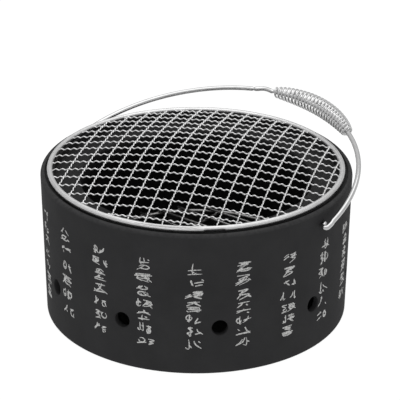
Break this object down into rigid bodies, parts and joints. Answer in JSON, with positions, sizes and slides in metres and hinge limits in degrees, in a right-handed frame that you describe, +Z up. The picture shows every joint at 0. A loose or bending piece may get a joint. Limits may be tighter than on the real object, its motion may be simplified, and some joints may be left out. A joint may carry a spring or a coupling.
{
  "type": "portable tabletop charcoal grill",
  "caption": "Round drum charcoal grill with a lift-out fire pot and grate, a domed crimped-wire grill net, draught holes and a swinging wire bail with a coil grip.",
  "frame": {"origin": "centre of the drum's flat underside, on the drum's axis, on the table", "axes": "+Z up along the drum's axis, +X to the right and -Y towards someone who looks at the front"},
  "size_m": [0.2541, 0.2531, 0.1485],
  "materials": {
    "drum_coating": "dark charcoal satin coating, very fine texture",
    "pot_coating": "dark heat-proof coating, satin on the flange, sooty inside",
    "net_steel": "bright plated steel wire",
    "bail_steel": "bright plated steel wire",
    "spring_steel": "bright plated spring wire",
    "grate_steel": "dull steel wire",
    "printed_marks": "off-white matt ink"
  },
  "bodies": {
    "drum": {"drum_body": "drum_coating"},
    "fire_pot": {"fire_pot": "pot_coating"},
    "grill_net": {"net_ring": "net_steel", "net_row_01": "net_steel", "net_row_02": "net_steel", "net_row_03": "net_steel", "net_row_04": "net_steel", "net_row_05": "net_steel", "net_row_06": "net_steel", "net_row_07": "net_steel", "net_row_08": "net_steel", "net_row_09": "net_steel", "net_row_10": "net_steel", "net_row_11": "net_steel", "net_row_12": "net_steel", "net_row_13": "net_steel", "net_row_14": "net_steel", "net_row_15": "net_steel", "net_row_16": "net_steel", "net_row_17": "net_steel", "net_column_01": "net_steel", "net_column_02": "net_steel", "net_column_03": "net_steel", "net_column_04": "net_steel", "net_column_05": "net_steel", "net_column_06": "net_steel", "net_column_07": "net_steel", "net_column_08": "net_steel", "net_column_09": "net_steel", "net_column_10": "net_steel", "net_column_11": "net_steel", "net_column_12": "net_steel", "net_column_13": "net_steel", "net_column_14": "net_steel", "net_column_15": "net_steel", "net_column_16": "net_steel"},
    "charcoal_grate": {"grate_ring": "grate_steel", "grate_bar_01": "grate_steel", "grate_bar_02": "grate_steel", "grate_bar_03": "grate_steel", "grate_bar_04": "grate_steel", "grate_bar_05": "grate_steel", "grate_bar_06": "grate_steel", "grate_bar_07": "grate_steel", "grate_bar_08": "grate_steel", "grate_bar_09": "grate_steel", "grate_bar_10": "grate_steel", "grate_bar_11": "grate_steel", "grate_cross_bar_1": "grate_steel", "grate_cross_bar_2": "grate_steel"},
    "bail": {"bail_wire": "bail_steel"},
    "grip": {"grip_coil": "spring_steel"}
  },
  "joints": [
    {"name": "bail_swing", "type": "hinge", "parent": "drum", "child": "bail", "pos_m": [0, 0, 0.1079], "axis": [0.7804, -0.6252, 0], "range_deg": [-6, 156]},
    {"name": "grip_slide", "type": "hinge", "parent": "bail", "child": "grip", "pos_m": [0, 0, 0.1079], "axis": [0.1597, 0.1994, -0.9668], "range_deg": [0, 6]},
    {"name": "pot_lift", "type": "slide", "parent": "drum", "child": "fire_pot", "axis": [0, 0, 1], "range_m": [0, 0.09]},
    {"name": "net_lift", "type": "slide", "parent": "fire_pot", "child": "grill_net", "axis": [0, 0, 1], "range_m": [0, 0.06]},
    {"name": "grate_lift", "type": "slide", "parent": "fire_pot", "child": "charcoal_grate", "axis": [0, 0, 1], "range_m": [0, 0.06]}
  ]
}
